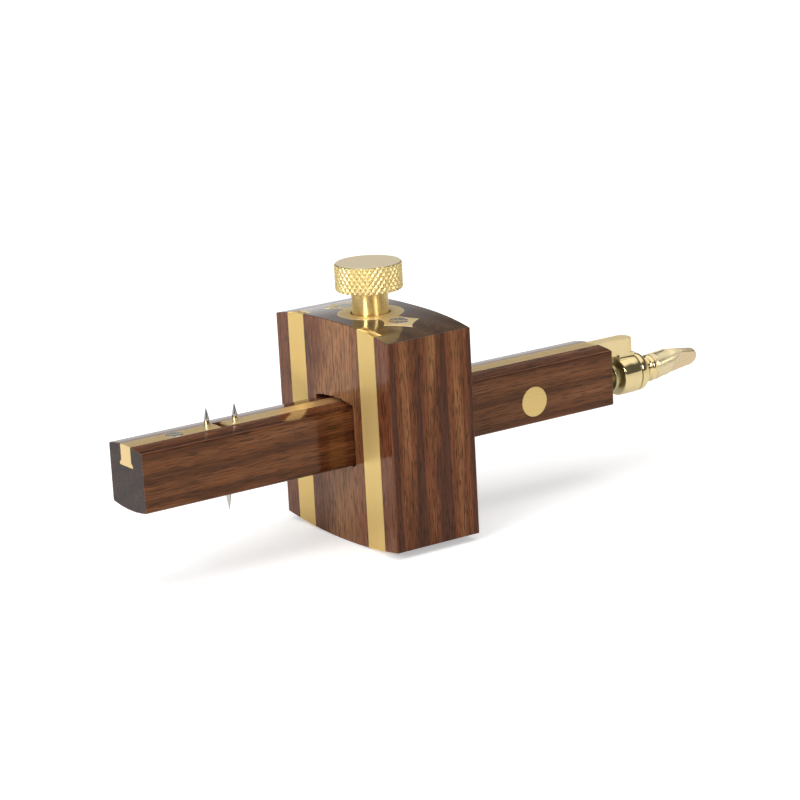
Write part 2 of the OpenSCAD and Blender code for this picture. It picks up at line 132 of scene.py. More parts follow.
def end_stations(x0, x1, r):
    """(x, inset) pairs for a bar from x0 to x1 whose end edges are rounded to r by quarter arcs."""
    a = np.radians([0, 22.5, 45, 67.5, 90])
    near = [(x0, r + 0.1)] + [(x0 + r * (1 - math.sin(t)), r * (1 - math.cos(t))) for t in a[::-1]]
    near.append((x0 + r + 0.12, 0.0))
    return near + [(x0 + x1 - x, d) for x, d in near[::-1]]


def smooth_through(knots, x):
    """Cubic curve through (place, value) knots whose slope at a knot follows its neighbours."""
    k = np.asarray(knots, float)
    slope = np.gradient(k[:, 1], k[:, 0])
    i = np.clip(np.searchsorted(k[:, 0], x) - 1, 0, len(k) - 2)
    w = k[i + 1, 0] - k[i, 0]
    t = (x - k[i, 0]) / w
    return ((1 + 2 * t) * (1 - t) ** 2 * k[i, 1] + t * (1 - t) ** 2 * w * slope[i]
            + t ** 2 * (3 - 2 * t) * k[i + 1, 1] + t ** 2 * (t - 1) * w * slope[i + 1])


def weave(rows, cols, close_cols=False):
    """Quads of a rows x cols grid of points; closed columns join the last to the first."""
    i = np.arange(rows - 1)[:, None]
    j = np.arange(cols if close_cols else cols - 1)[None, :]
    j2 = (j + 1) % cols
    quads = np.broadcast_arrays(i * cols + j, i * cols + j2, (i + 1) * cols + j2, (i + 1) * cols + j)
    return np.stack(quads, -1).reshape(-1, 4)


def loft(loops, paint=0):
    """A skin over a stack of closed loops (stations x points x 3), open at both ends."""
    loops = np.asarray(loops, float)
    return loops.reshape(-1, 3), weave(loops.shape[0], loops.shape[1], close_cols=True), paint


def flat_end(*loops, paint=0):
    """A flat face bounded by the first loop, with the others cut out of it, in triangles."""
    tris = tessellate_polygon([[tuple(p) for p in loop] for loop in loops])
    return np.concatenate(loops), np.array(tris), paint


def turned(profile, centre, axis="z", sides=96, paint=0):
    """A turned surface: the profile (distance along the axis, radius) swung round the axis."""
    p = np.asarray(profile, float)
    a = np.linspace(0, 2 * np.pi, sides, endpoint=False)
    s = np.broadcast_to(p[:, :1], (len(p), sides))
    u, v = p[:, 1:] * np.cos(a), p[:, 1:] * np.sin(a)
    grid = np.stack([s, u, v] if axis == "x" else [u, v, s], -1) + np.asarray(centre, float)
    return loft(grid, paint)


def piece(name, sheets, materials, body, nodes=(), crease=32, weld=True, facing=None):
    """Joins sheets (points, faces, material number) into one mesh, welds it, turns its faces
    outwards and marks edges sharper than `crease` degrees. `facing` settles an open sheet's side."""
    points, faces, paint, n = [], [], [], 0
    for pts, quads, mat in sheets:
        points.append(row(pts))
        faces += (np.asarray(quads) + n).tolist()
        paint += [mat] * len(quads)
        n += len(pts)
    mesh = bpy.data.meshes.new(name)
    mesh.from_pydata(np.concatenate(points).tolist(), [], faces)
    mesh.polygons.foreach_set("material_index", paint)
    bm = bmesh.new()
    bm.from_mesh(mesh)
    if weld:
        bmesh.ops.remove_doubles(bm, verts=bm.verts, dist=2e-6)
    bmesh.ops.dissolve_degenerate(bm, dist=1e-7, edges=bm.edges)
    bmesh.ops.recalc_face_normals(bm, faces=bm.faces)
    if facing is not None:
        if sum(f.calc_area() * f.normal.dot(facing) for f in bm.faces) < 0:
            bmesh.ops.reverse_faces(bm, faces=bm.faces)
    bm.to_mesh(mesh)
    bm.free()
    for m in materials:
        mesh.materials.append(m)
    mesh.shade_smooth()
    mesh.set_sharp_from_angle(angle=math.radians(crease))
    obj = bpy.data.objects.new(name, mesh)
    bpy.context.scene.collection.objects.link(obj)
    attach(obj, body)
    if nodes:
        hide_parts(*nodes)
    return obj


# Materials

def node_tools(tree):
    """A node maker, which takes inputs and settings by name, and a linker for one node tree."""
    def add(kind, **settings):
        n = tree.nodes.new(kind)
        for k, v in settings.items():
            if k in n.inputs:
                n.inputs[k].default_value = v
            else:
                setattr(n, k, v)
        return n

    return add, tree.links.new


def new_material(name):
    """A material with one Principled BSDF; returns it with its shader, a node maker and a linker."""
    m = bpy.data.materials.new(name)
    m.use_nodes = True
    return m, m.node_tree.nodes["Principled BSDF"], *node_tools(m.node_tree)


def maths(add, link, operation, *terms):
    """A Math node on terms that are sockets or plain numbers."""
    n = add("ShaderNodeMath", operation=operation)
    for socket, term in zip(n.inputs, terms):
        if isinstance(term, (int, float)):
            socket.default_value = term
        else:
            link(term, socket)
    return n.outputs[0]


def ramp(add, link, source, stops):
    """A colour ramp on `source`; stops are (place, grey) or (place, (r, g, b))."""
    n = add("ShaderNodeValToRGB")
    e = n.color_ramp.elements
    while len(e) < len(stops):
        e.new(0.5)
    for el, (at, c) in zip(e, stops):
        c = (c, c, c) if not isinstance(c, tuple) else c
        el.position, el.color = at, (*c, 1)
    link(source, n.inputs["Fac"])
    return n.outputs["Color"]


def darkened(add, link, base, tint, amount=1.0):
    """The base colour multiplied by a tint."""
    n = add("ShaderNodeMix", data_type="RGBA", blend_type="MULTIPLY")
    n.inputs[0].default_value = amount
    link(base, n.inputs[6])
    link(tint, n.inputs[7])
    return n.outputs[2]


def noise(add, link, coords, size, detail=3.0, rough=0.6, shift=(0, 0, 0), twist=0.0):
    """Noise whose marks have the size (x, y, z) in mm."""
    mapping = add("ShaderNodeMapping", Scale=[1000 / s for s in size], Location=shift)
    link(coords, mapping.inputs["Vector"])
    n = add("ShaderNodeTexNoise", Scale=1.0, Detail=detail, Roughness=rough, Distortion=twist)
    link(mapping.outputs["Vector"], n.inputs["Vector"])
    return n.outputs["Fac"]


def rosewood(name, cut, tones, shift, phase, coat, shine=0.5, end=False, painted_lighter_face=0.0):
    """Lacquered rosewood cut from a solid block. Its growth rings are a sine of the place across
    flat layers, whose spacing along x, y and z is cut["rings"], bent by noise. Streaks, fibres and
    dark pores lie over them, each of the size (x, y, z) in mm that `cut` gives, drawn out along the
    grain. The last argument takes the rings' darkness down near x = 0, the working face: painted
    light on that face."""
    m, bsdf, add, link = new_material(name)
    coords = add("ShaderNodeTexCoord").outputs["Object"]
    bend = noise(add, link, coords, cut["bend"], 3.0, 0.55, shift, 0.4)
    layer = add("ShaderNodeVectorMath", operation="DOT_PRODUCT")
    link(coords, layer.inputs[0])
    layer.inputs[1].default_value = [2 * math.pi * 1000 / s for s in cut["rings"]]
    angle = maths(add, link, "MULTIPLY_ADD", bend, 2 * math.pi * cut["waver"], layer.outputs["Value"])
    wave = maths(add, link, "SINE", maths(add, link, "ADD", angle, 2 * math.pi * phase))
    ring = maths(add, link, "MULTIPLY_ADD", wave, 0.30, bend)
    # Painted light: the rings are lightened near the working face at x = 0.
    if painted_lighter_face:
        split = add("ShaderNodeSeparateXYZ")
        link(coords, split.inputs[0])
        lift = add("ShaderNodeMapRange")
        for k, v in enumerate((-BOX_X / 1000, (1.0 - BOX_X) / 1000, painted_lighter_face, 0.0), 1):
            lift.inputs[k].default_value = v
        link(split.outputs["X"], lift.inputs[0])
        ring = maths(add, link, "SUBTRACT", ring, lift.outputs[0])
    streaks = noise(add, link, coords, cut["streaks"], 2.0, 0.6, (shift[0] + 3, 5, 7), 0.3)
    fibres = noise(add, link, coords, cut["fibres"], 2.0, 0.6, (shift[0] + 9, 4, 2), 0.1)
    rows = noise(add, link, coords, [4.5 * s for s in cut["pores"]], 2.0, 0.5, (shift[0] + 2, 8, 1))
    dots = noise(add, link, coords, cut["pores"], 1.5, 0.5, (shift[0] + 11, 2, 9), 0.1)
    gathered = maths(add, link, "MULTIPLY_ADD", rows, 0.35, dots)
    dark, mid, light = tones
    body = ramp(add, link, ring, [(0.05, light), (0.34, mid), (0.60, mid), (0.72, dark)])
    streak = ramp(add, link, streaks, [(0.30, 0.74), (0.50, 1.0), (0.72, 1.20)])
    fibre = ramp(add, link, fibres, [(0.30, 0.66), (0.50, 1.0), (0.70, 1.26)])
    hole = ramp(add, link, gathered, [(0.70, 1.0), (0.78, 0.32)])
    grain = darkened(add, link, darkened(add, link, body, streak), fibre, 0.4 if end else 1.0)
    link(darkened(add, link, grain, hole, 0.45 if end else 0.9), bsdf.inputs["Base Color"])
    link(ramp(add, link, fibres, [(0.3, 0.09), (0.7, 0.13)]), bsdf.inputs["Roughness"])
    bump = add("ShaderNodeBump", Strength=0.10, Distance=0.00005)
    link(hole, bump.inputs["Height"])
    link(bump.outputs["Normal"], bsdf.inputs["Normal"])
    bsdf.inputs["Specular IOR Level"].default_value = shine
    bsdf.inputs["Specular Tint"].default_value = (1, 1, 1, 1) if end else (1, 0.50, 0.22, 1)
    bsdf.inputs["Coat Weight"].default_value = coat
    bsdf.inputs["Coat Roughness"].default_value = 0.10 if end else 0.05
    return m


def metal(name, colour, rough, lines, spread=0.05, strength=0.12, smear=0.0, smear_turn=0.0):
    """Metal whose colour and roughness vary a little, with fine tool lines. `lines` gives the sizes
    in mm of a line's marks along x, y and z. `smear` draws the gloss out across the lines."""
    m, bsdf, add, link = new_material(name)
    coords = add("ShaderNodeTexCoord").outputs["Object"]
    marks = noise(add, link, coords, lines, 4.0, 0.6)
    low = tuple(c * (1 - spread) for c in colour)
    high = tuple(min(1.0, c * (1 + spread)) for c in colour)
    link(ramp(add, link, marks, [(0.3, low), (0.7, high)]), bsdf.inputs["Base Color"])
    link(ramp(add, link, marks, [(0.3, rough * 0.85), (0.7, rough * 1.15)]), bsdf.inputs["Roughness"])
    bump = add("ShaderNodeBump", Strength=strength, Distance=0.00002)
    link(marks, bump.inputs["Height"])
    link(bump.outputs["Normal"], bsdf.inputs["Normal"])
    bsdf.inputs["Metallic"].default_value = 1.0
    bsdf.inputs["Anisotropic"].default_value = smear
    bsdf.inputs["Anisotropic Rotation"].default_value = smear_turn
    return m


BRASS = (0.88, 0.71, 0.37)
STEM_CUT = {"rings": (900, 17, 9), "bend": (90, 12, 12), "waver": 1.0, "streaks": (30, 1.6, 1.6),
            "fibres": (18, 0.5, 0.5), "pores": (7, 0.4, 0.4)}
STOCK_CUT = {"rings": (10.5, 60, 900), "bend": (16, 24, 80), "waver": 0.8, "streaks": (2.0, 2.2, 34),
             "fibres": (0.5, 0.5, 18), "pores": (0.42, 0.42, 5)}
STEM_SHIFT, STOCK_SHIFT = (1.3, 4.1, 2.2), (7.9, 1.6, 3.4)
stem_wood = rosewood("stem_rosewood", STEM_CUT, ((0.085, 0.026, 0.010), (0.150, 0.051, 0.019),
                     (0.190, 0.073, 0.030)), STEM_SHIFT, 0.0, 0.22)
stem_end_wood = rosewood("stem_end_grain", STEM_CUT, ((0.035, 0.019, 0.015), (0.045, 0.024, 0.018),
                         (0.056, 0.031, 0.023)), STEM_SHIFT, 0.0, 0.0, 0.2, end=True)
# The stock's wood carries painted light on its working face.
stock_wood = rosewood("stock_rosewood", STOCK_CUT, ((0.068, 0.023, 0.018), (0.172, 0.056, 0.025),
                      (0.340, 0.154, 0.064)), STOCK_SHIFT, 0.10, 0.06, painted_lighter_face=0.30)
stock_end_wood = rosewood("stock_end_grain", STOCK_CUT, ((0.078, 0.040, 0.020), (0.102, 0.054, 0.026),
                          (0.128, 0.068, 0.034)), STOCK_SHIFT, 0.10, 0.5, end=True)
turned_brass = metal("turned_brass", BRASS, 0.13, (0.25, 6, 6), 0.04, 0.10)
# Darkened brass, painted shade: on the eye's end faces, the thrust collar, the finger turn's seat face and the
# knob's rim step.
painted_shade_brass = metal("painted_shade_brass", (0.52, 0.44, 0.24), 0.34, (0.25, 6, 6), 0.04, 0.10)
# The finger turn's bulb: paler brass than the rest of the same turned piece, a painted highlight.
painted_highlight_finger_brass = metal("painted_highlight_finger_brass", (0.95, 0.80, 0.50), 0.43, (0.25, 6, 6), 0.04, 0.10, 0.9, 0.0)
# The finger turn's tab: darker brass than the rest of the same turned piece, painted shade.
painted_shade_tab_brass = metal("painted_shade_tab_brass", (0.78, 0.62, 0.38), 0.24, (3, 0.4, 0.4), 0.05, 0.12)
knob_brass = metal("knurled_brass", (0.90, 0.72, 0.34), 0.46, (0.8, 0.8, 0.8), 0.05, 0.08)
neck_brass = metal("neck_brass", (0.90, 0.67, 0.28), 0.30, (5, 5, 0.12), 0.05, 0.10, 1.0, 0.25)
# The knob's top: paler brass than its knurl on the same piece, painted light.
painted_light_knob_top = metal("painted_light_knob_top", (0.97, 0.85, 0.61), 0.56, (0.5, 0.5, 0.5), 0.03, 0.06)
strip_brass = metal("face_strip_brass", (0.95, 0.70, 0.28), 0.44, (0.3, 0.22, 60), 0.05, 0.20, 1.0, 0.0)
slide_brass = metal("slide_brass", (0.97, 0.72, 0.37), 0.44, (60, 0.25, 0.25), 0.05, 0.20)
tail_brass = metal("tail_brass", (0.97, 0.80, 0.46), 0.60, (0.6, 0.6, 0.6), 0.04, 0.10)
plate_brass = metal("plate_brass", (0.97, 0.80, 0.47), 0.52, (0.3, 18, 0.3), 0.04, 0.12)
nut_brass = metal("nut_brass", (0.76, 0.55, 0.22), 0.30, (14, 0.3, 0.16), 0.06, 0.3)
steel = metal("bright_steel", (0.62, 0.61, 0.59), 0.16, (0.4, 0.4, 0.2), 0.08, 0.12)
screw_steel = metal("slotted_steel", (0.66, 0.66, 0.64), 0.26, (0.5, 0.7, 0.5), 0.30, 0.60)
# Near-black steel in the screw slots: painted shade in the recess.
painted_shade_slot_steel = metal("painted_shade_slot_steel", (0.12, 0.11, 0.10), 0.45, (0.3, 0.3, 0.3), 0.10, 0.20)


# Wooden pieces

def circle(x, y, z, r, sides=64):
    """A circle of points about the x axis line through (y, z), at x."""
    a = np.linspace(0, 2 * np.pi, sides, endpoint=False)
    return np.stack([np.full(sides, float(x)), y + r * np.cos(a), z + r * np.sin(a)], 1)


def make_stem():
    """The stem: its crowned outline with the dovetailed groove, carried along x with rounded end
    edges, a bore for the adjusting screw, and flat ends of end grain."""
    w, foot, floor, shoulder, neck = 3.38, 4.48, 3.82, 4.7, 5.6
    outer = crowned_outline(stem_crown, stem_crown, STEM_HALF, 0.8, w)
    half_groove = np.array([[foot, floor], [foot, shoulder], [w, neck]])
    groove = np.concatenate([(half_groove * [-1, 1])[::-1], half_groove])
    stack = [at_x(x, np.concatenate([moved_in(outer, d), groove]))
             for x, d in end_stations(STEM_X0, STEM_X1, 0.2)]
    mouth, inner = circle(STEM_X1, 0, SCREW_Z, 3.0), circle(54.0, 0, SCREW_Z, 3.0)
    sheets = [loft(stack), flat_end(stack[0], paint=1), flat_end(stack[-1], mouth, paint=1),
              loft([mouth, inner]), flat_end(inner)]
    return piece("rosewood_stem", sheets, [stem_wood, stem_end_wood], "stem", ["stem"])


def make_stock():
    """The stock: its crowned outline carried along x, the round well for the thumbscrew's neck sunk
    in the top, and the mortise as a hole between the two faces. The mortise's edge on the working
    face has small chips, where two sine waves of the way round it add up past a threshold."""
    outer = crowned_outline(stock_crown, stock_foot, STOCK_HALF, 0.3, steps=90)
    ends = end_stations(0.0, STOCK_T, 0.25)
    half = len(ends) // 2
    xs = ends[:half] + [(x, 0.0) for x in np.linspace(0.9, STOCK_T - 0.9, 80)] + ends[half:]
    stack = np.array([at_x(x, ring_moved_in(outer, d)) for x, d in xs])
    well = (np.hypot(stack[..., 0] - PLATE_X, stack[..., 1]) < 9.2) & (stack[..., 2] > 30)
    stack[..., 2] = np.where(well, 29.5, stack[..., 2])
    hole = crowned_outline(mortise_crown, mortise_crown, STEM_HALF + 0.4, 0.5, steps=60) + [0, 0.325]
    way = np.cumsum(np.linalg.norm(np.diff(hole, axis=0, prepend=hole[-1:]), axis=1))
    chips = 0.55 * np.clip(np.sin(2.1 * way) + np.sin(0.83 * way + 1.3) - 0.7, 0, 0.9)
    ease = [(0, -0.12 - chips), (0.15, -0.04 - chips * 0.8), (0.5, -chips * 0.4), (1.0, 0.0),
            (STOCK_T - 0.5, 0.0), (STOCK_T - 0.15, -0.03), (STOCK_T, -0.12)]
    mortise = [at_x(x, ring_moved_in(hole, d)) for x, d in ease]
    sheets = [loft(stack), flat_end(stack[0], mortise[0]), flat_end(stack[-1], mortise[-1]), loft(mortise)]
    obj = piece("rosewood_stock", sheets, [stock_wood, stock_end_wood], "stock", ["stock"])
    count = len(obj.data.polygons)
    normals, centres = np.empty(count * 3), np.empty(count * 3)
    obj.data.polygons.foreach_get("normal", normals)
    obj.data.polygons.foreach_get("center", centres)
    rise = np.abs(centres.reshape(-1, 3)[:, 2] - STOCK_TOP / 1000)
    top = (np.abs(normals.reshape(-1, 3)[:, 2]) > 0.8) & (rise > 0.03)
    obj.data.polygons.foreach_set("material_index", top.astype(int))
    return obj


# Brass pieces

def tee_outline(w, foot):
    """Section (y, z) of strip and slide: a crowned top with eased edges, sides that flare to a foot."""
    y = np.linspace(-w + 0.1, w - 0.1, 13)
    top = np.stack([y, stem_crown(y) + 0.02], 1)
    edge = top[-1, 1] - 0.1
    right = [[w, edge], [w, edge - 0.1], [w, 5.62], [foot, 4.72], [foot, 3.9]]
    return np.concatenate([top, right, [[-a, b] for a, b in right[::-1]]])


def make_tee(name, x0, x1, body, nodes, ease=0.0, extra=()):
    """A length of the brass T section with flat ends; `ease` bevels the top edge of its first end."""
    outline = tee_outline(3.36, 4.4)
    low = np.column_stack([outline[:, 0], np.minimum(outline[:, 1], outline[:, 1].max() - ease)])
    stack = [at_x(x0, low), at_x(x0 + ease, outline), at_x(x1, outline)] if ease else [
        at_x(x0, outline), at_x(x1, outline)]
    sheets = [loft(stack), flat_end(stack[0]), flat_end(stack[-1]), *extra]
    return piece(name, sheets, [slide_brass, tail_brass], body, nodes)


def slide_tail():
    """The slide's tail past its foot: upright sections of half width w(x), which closes on a half
    circle at the end. The top follows the crown and falls at the rim on a quarter arc of radius e,
    which grows round the end: e - sqrt(e^2 - (e - q)^2) at a distance q inside the rim."""
    w0 = 3.3
    x_round = TAIL_X1 - w0
    turn = np.linspace(0, np.pi / 2, 25)
    xs = np.concatenate([[FOOT_X1, x_round - 0.1], x_round + w0 * np.sin(turn)])
    ws = np.concatenate([[w0, w0], w0 * np.cos(turn)])
    v = np.sin(np.linspace(-np.pi / 2, np.pi / 2, 33))
    loops = []
    for x, w in zip(xs, np.maximum(ws, 1e-3)):
        y = w * v
        past = max(x - x_round, 0.0)
        rho = np.hypot(past, y)
        e = 0.3 + 0.95 * (past / np.maximum(rho, 1e-6)) ** 2
        q = np.clip(w0 - rho, 0, e)
        z = stem_crown(y) - (e - np.sqrt(e ** 2 - (e - q) ** 2))
        loops.append(at_x(x, np.concatenate([np.stack([y, z], 1), [[w, TAIL_Z], [-w, TAIL_Z]]])))
    return [loft(loops, paint=1), flat_end(loops[0], paint=1)]


def make_eye():
    """The eye: a turned drum with bright chamfers, whose end faces are darkened as painted shade, and
    on it an upright web with small fillets at its root, which carries the drum under the slide's tail."""
    drum = [(EYE_X0, 2.55), (EYE_X0, 6.85), (EYE_X0 + 0.06, 6.95), (EYE_X0 + 0.38, 7.3),
            (EYE_X0 + 0.5, EYE_R), (EYE_X1 - 0.55, EYE_R), (EYE_X1 - 0.3, 7.3), (EYE_X1 - 0.08, 7.12),
            (EYE_X1, 6.9), (EYE_X1, 2.55), (EYE_X0, 2.55)]
    side = np.array([[3.0, TAIL_Z], [3.0, 4.5], [3.06, 4.15], [3.22, 3.88], [3.5, 3.62], [3.5, 2.8]])
    web = np.concatenate([side, (side * [-1, 1])[::-1]])
    stations = [(EYE_X0 + 0.45, 0.95), (EYE_X0 + 0.6, 1.0), (EYE_X1 - 0.8, 1.0), (EYE_X1 - 0.5, 0.97),
                (EYE_X1 - 0.35, 0.9)]
    stack = [at_x(x, web * [narrow, 1]) for x, narrow in stations]
    middle = (0, 0, SCREW_Z)
    sheets = [turned(drum[:2], middle, "x", 144, 1), turned(drum[1:-2], middle, "x", 144),
              turned(drum[-3:], middle, "x", 144, 1), loft(stack), flat_end(stack[0]), flat_end(stack[-1])]
    return piece("turned_eye", sheets, [turned_brass, painted_shade_brass], "slide", ["slide_eye"])


def make_adjusting_screw():
    """The adjusting screw: radius falls and rises as a triangle wave of x less a turn's share of
    the pitch, which is a helical thread; the plain end runs on into the finger turn."""
    pitch, depth, x0 = 0.8, 0.42, 58.9
    xs = np.concatenate([np.arange(x0, COLLAR_X0 - 0.05, 0.08), [COLLAR_X0]])
    a = np.linspace(0, 2 * np.pi, 40, endpoint=False)
    wave = np.abs(2 * ((xs[:, None] / pitch - a / (2 * np.pi)) % 1.0) - 1)
    rad = SCREW_R - depth * np.clip(wave * 1.15 - 0.08, 0, 1)
    rad[-1:] = SCREW_R
    across, up = rad * np.cos(a), SCREW_Z + rad * np.sin(a)
    grid = np.stack([np.broadcast_to(xs[:, None], rad.shape), across, up], -1)
    plain = turned([(COLLAR_X0, SCREW_R), (FLANGE_X0 + 12.9, SCREW_R), (FLANGE_X0 + 12.9, 0)],
                   (0, 0, SCREW_Z), "x", 40)
    end = np.stack([grid[0] * [1, 0, 0] + [0, 0, SCREW_Z], grid[0]])
    return piece("threaded_adjusting_screw", [loft(grid), plain, loft(end)], [turned_brass], "turn_screw",
                 ["adjusting_screw"], crease=50)


def make_collar():
    """The thrust collar: a thin disc with eased rims and a hub that reaches the eye, in painted shade."""
    outline = [(COLLAR_X0, SCREW_R), (COLLAR_X0, COLLAR_R - 0.3), (COLLAR_X0 + 0.12, COLLAR_R - 0.06),
               (COLLAR_X0 + 0.3, COLLAR_R), (COLLAR_X1 - 0.3, COLLAR_R), (COLLAR_X1 - 0.12, COLLAR_R - 0.06),
               (COLLAR_X1, COLLAR_R - 0.3), (COLLAR_X1, HUB_R), (EYE_X0, HUB_R), (EYE_X0, SCREW_R)]
    return piece("turned_thrust_collar", [turned(outline, (0, 0, SCREW_Z), "x", 96)], [painted_shade_brass],
                 "turn_screw", ["thrust_collar"], facing=(-1, 0, 0))


def finger_outline():
    """Outline of the finger turn before its tab is cut, as (distance from the flange's seat,
    radius): flange, cove, bead, groove, bulb, taper, and a tip that closes as a superellipse."""
    flange = [(0, 2.5), (0, 6.8), (0.12, 7.05), (0.4, 7.18)]
    tip_s, tip_r, tip_l, power = 26.7, 3.42, 3.8, 2.17
    s = np.concatenate([np.linspace(1.5, 8.86, 64), np.linspace(8.95, tip_s - 0.1, 110)])
    r = smooth_through([(0.4, 7.18), (1.5, 7.18), (1.9, 7.12), (3.0, 6.7), (4.15, 5.5), (5.2, 4.4), (6.1, 4.1),
                        (6.8, 4.7), (7.5, 5.0), (8.3, 4.9), (8.86, 4.5), (8.95, 4.5), (9.6, 4.88), (11.4, 4.85),
                        (13.8, 4.75), (16.2, 4.7), (18.6, 4.65), (21.0, 4.42), (23.3, 4.0), (25.7, 3.62),
                        (tip_s, tip_r)], s)
    t = np.sin(np.linspace(0.02, np.pi / 2, 22))
    tip = np.stack([tip_s + tip_l * t, tip_r * (1 - t ** power) ** (1 / power)], 1)
    return np.concatenate([flange, np.stack([s, r], 1), tip])


def make_finger_turn():
    """The finger turn: a turned body whose far end is cut to a flat tab. Each point keeps its height
    h along the tab, and its distance n from the tab's middle plane is limited to depth(x, h): half
    the tab's thickness, which rises on an arc where the scoop runs out. The line where the flat
    starts slants with h. The far side is the near one after a half turn. The body's middle line
    rises smoothly by `lift`."""
    thick, scoop_r, soft, lift, turn = 1.4, 8.0, 0.12, 1.05, math.radians(24)
    p = finger_outline()
    a = np.linspace(0, 2 * np.pi, 256, endpoint=False)
    s, r = p[:, :1], p[:, 1:]
    h, n = r * np.cos(a), r * np.sin(a)
    near = np.where(np.sin(a) >= 0, 1.0, -1.0)
    start = 22.2 + 0.33 * h * near
    run = np.clip(start - s, 0, scoop_r)
    depth = np.where(start - s > scoop_r, 99.0, thick + scoop_r - np.sqrt(scoop_r ** 2 - run ** 2))
    flat = -soft * np.logaddexp(-np.abs(n) / soft, -depth / soft)
    # Painted light: the bulb (1) takes paler brass, a painted highlight; the flange's seat face (3) takes
    # darkened brass, painted shade.
    plain = np.where(s > 8.9, 1, np.where(s < 0.1, 3, 0))
    # Where the scoop cuts flat, the tab (2) takes darker brass: painted shade.
    finish_and_painted_light = np.where(depth < np.abs(n), 2, plain)[:-1].ravel()
    n = near * np.where(np.abs(n) < 1e-6, 0.0, np.maximum(flat, 0.0))
    u = np.clip((s - 5.5) / 12, 0, 1)
    rise = lift * u ** 2 * (3 - 2 * u)
    grid = np.stack([np.broadcast_to(FLANGE_X0 + s, n.shape), -n * math.cos(turn) - h * math.sin(turn),
                     SCREW_Z + rise - n * math.sin(turn) + h * math.cos(turn)], -1)
    seat = turned([(FLANGE_X0, 2.5), (FLANGE_X0 + 1, 2.5)], (0, 0, SCREW_Z), "x", 256)
    points, quads, _ = loft(grid)
    finishes_and_painted_light = [turned_brass, painted_highlight_finger_brass, painted_shade_tab_brass, painted_shade_brass]
    skin = [(points, quads[finish_and_painted_light == k], k) for k in range(len(finishes_and_painted_light))]
    return piece("turned_finger_turn", [*skin, seat], finishes_and_painted_light, "turn_screw",
                 ["finger_turn"], crease=28)


def make_thumbscrew():
    """The thumbscrew: a knurled head whose radius is cut by two opposite sets of helical V grooves,
    so that the lesser of the two leaves diamonds, with a plain rim that stands back under its flat
    top, on a smooth neck with a stud and spigot below."""
    starts, lead, depth, steep, chamfer = 36, 2.62, 0.40, 1.6, 0.35
    rim_z, rim_r = KNOB_Z1 - 0.36, KNOB_R - 0.44
    sides = starts * 16
    a = np.linspace(0, 2 * np.pi, sides, endpoint=False)
    z = np.linspace(KNOB_Z0, rim_z, 82)
    left = np.abs(2 * ((a * starts / (2 * np.pi) + z[:, None] / lead) % 1.0) - 1)
    right = np.abs(2 * ((a * starts / (2 * np.pi) - z[:, None] / lead) % 1.0) - 1)
    cut = depth * (1 - np.minimum(np.minimum(left, right) * steep, 1.0))
    edge = np.minimum(z - KNOB_Z0, rim_z + 0.2 - z)[:, None]
    rad = np.minimum(KNOB_R - np.clip(chamfer - edge, 0, chamfer), KNOB_R - cut)
    grid = np.stack([rad * np.cos(a), rad * np.sin(a), np.broadcast_to(z[:, None], rad.shape)], -1)
    under = np.stack([grid[0], circle_z(KNOB_Z0, NECK_R + 0.2, sides)])
    # The rim step below the top is darkened brass: a painted shadow line.
    rim = np.stack([grid[-1], circle_z(rim_z, rim_r, sides), circle_z(KNOB_Z1 - 0.06, rim_r, sides)])
    # The flat top takes paler brass: painted light.
    top = np.stack([rim[-1], *(circle_z(KNOB_Z1, rim_r - b, sides) for b in (0.06, 0.5, 4.0, rim_r))])
    neck = [(12.75, 0), (12.75, 2.35), (14.25, 2.35), (14.25, 3.95), (30.5, 3.95), (30.5, NECK_R),
            (38.0, NECK_R), (KNOB_Z0 - 0.45, NECK_R), (KNOB_Z0 - 0.15, NECK_R + 0.05), (KNOB_Z0, NECK_R + 0.2)]
    middle = [PLATE_X, 0, 0]
    sheets = [loft(grid + middle, 0), loft(under + middle, 1), loft(rim + middle, 3), loft(top + middle, 2),
              turned(neck, middle, "z", sides, 1)]
    finishes_and_painted_light = [knob_brass, neck_brass, painted_light_knob_top, painted_shade_brass]
    return piece("knurled_thumbscrew", sheets, finishes_and_painted_light, "thumbscrew", ["thumbscrew"],
                 crease=40)


def circle_z(z, r, sides):
    """A circle of points about the z axis, at height z."""
    a = np.linspace(0, 2 * np.pi, sides, endpoint=False)
    return np.stack([r * np.cos(a), r * np.sin(a), np.full(sides, float(z))], 1)


def plate_half_width(y):
    """Half width of the escutcheon at y: the round middle, then a pointed lug with hollow sides."""
    y = np.abs(y)
    root, side, tip = LUG_ROOT, LUG_SIDE, LUG_TIP
    t1 = np.clip((y - root[1]) / (side[1] - root[1]), 0, 1)
    t2 = np.clip((y - side[1]) / (tip[1] - side[1]), 0, 1)
    lug1 = root[0] + (side[0] - root[0]) * t1 - 4 * 0.9 * t1 * (1 - t1)
    lug2 = side[0] * (1 - t2) - 4 * 1.0 * t2 * (1 - t2)
    disc = np.sqrt(np.maximum(PLATE_R ** 2 - y ** 2, 0))
    return np.maximum(np.where(y < root[1], disc, np.where(y < side[1], lug1, lug2)), 0.0)


